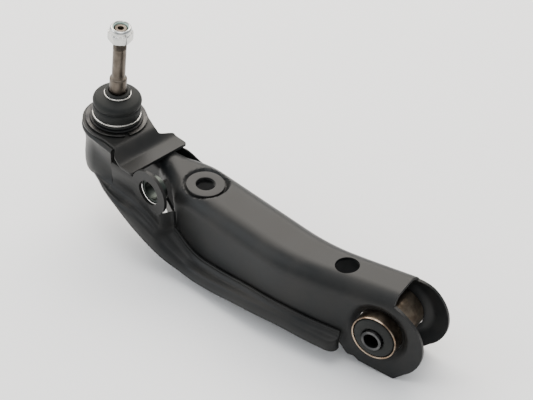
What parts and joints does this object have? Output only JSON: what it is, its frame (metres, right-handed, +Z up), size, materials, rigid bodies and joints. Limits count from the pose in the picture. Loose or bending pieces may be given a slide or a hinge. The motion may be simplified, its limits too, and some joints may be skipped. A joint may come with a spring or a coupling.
{
  "type": "suspension control arm",
  "caption": "Pressed-steel control arm with a ball joint and dust boot at one end, a rubber pivot bush between two ears at the other, and a rod eye beside the head.",
  "frame": {"origin": "middle of the assembly's box in plan, at its lowest height", "axes": "+X along the arm from the ball joint to the pivot bush, +Y towards the far rail with the bush axis along it, +Z up along the stud"},
  "size_m": [0.3618, 0.121, 0.1907],
  "materials": {
    "black_coat": "satin",
    "housing_steel": "satin",
    "bare_steel": "satin",
    "spring_steel": "satin",
    "zinc": "gloss",
    "rubber": "matte",
    "race_plastic": "satin",
    "insert_plastic": "satin"
  },
  "bodies": {
    "arm": {"arm_channel": "black_coat", "outer_pressing": "black_coat", "head_plate": "black_coat", "link_seat": "black_coat", "rod_boss": "bare_steel", "ball_housing": "housing_steel", "housing_ring": "spring_steel", "race_upper": "race_plastic", "race_lower": "race_plastic", "housing_cover": "housing_steel", "preload_spring": "spring_steel", "boot_lower_clip": "spring_steel", "bush_outer_sleeve": "bare_steel", "bush_rubber": "rubber"},
    "boot": {"dust_boot": "rubber"},
    "boot_ring": {"boot_neck_clip": "spring_steel"},
    "stud": {"ball_stud": "bare_steel", "stud_nut": "zinc", "nut_insert": "insert_plastic"},
    "bush_core": {"bush_inner_sleeve": "bare_steel"}
  },
  "joints": [
    {"name": "stud_tilt_sideways", "type": "hinge", "parent": "arm", "child": "boot", "pos_m": [-0.15301, 0.03155, 0.08185], "axis": [0.9962, 0, -0.0872], "range_deg": [-15, 15], "deforming": ["dust_boot"]},
    {"name": "stud_tilt_lengthways", "type": "hinge", "parent": "boot", "child": "boot_ring", "pos_m": [-0.15301, 0.03155, 0.08185], "axis": [0, 1, 0], "range_deg": [-15, 15]},
    {"name": "stud_spin", "type": "hinge", "parent": "boot_ring", "child": "stud", "pos_m": [-0.15301, 0.03155, 0.08185], "axis": [0.0872, 0, 0.9962], "continuous": true},
    {"name": "bush_twist", "type": "hinge", "parent": "arm", "child": "bush_core", "pos_m": [0.14048, -0.0242, 0.0411], "axis": [0, 1, 0], "range_deg": [-25, 25], "stiffness_Nm_per_rad": 40}
  ]
}
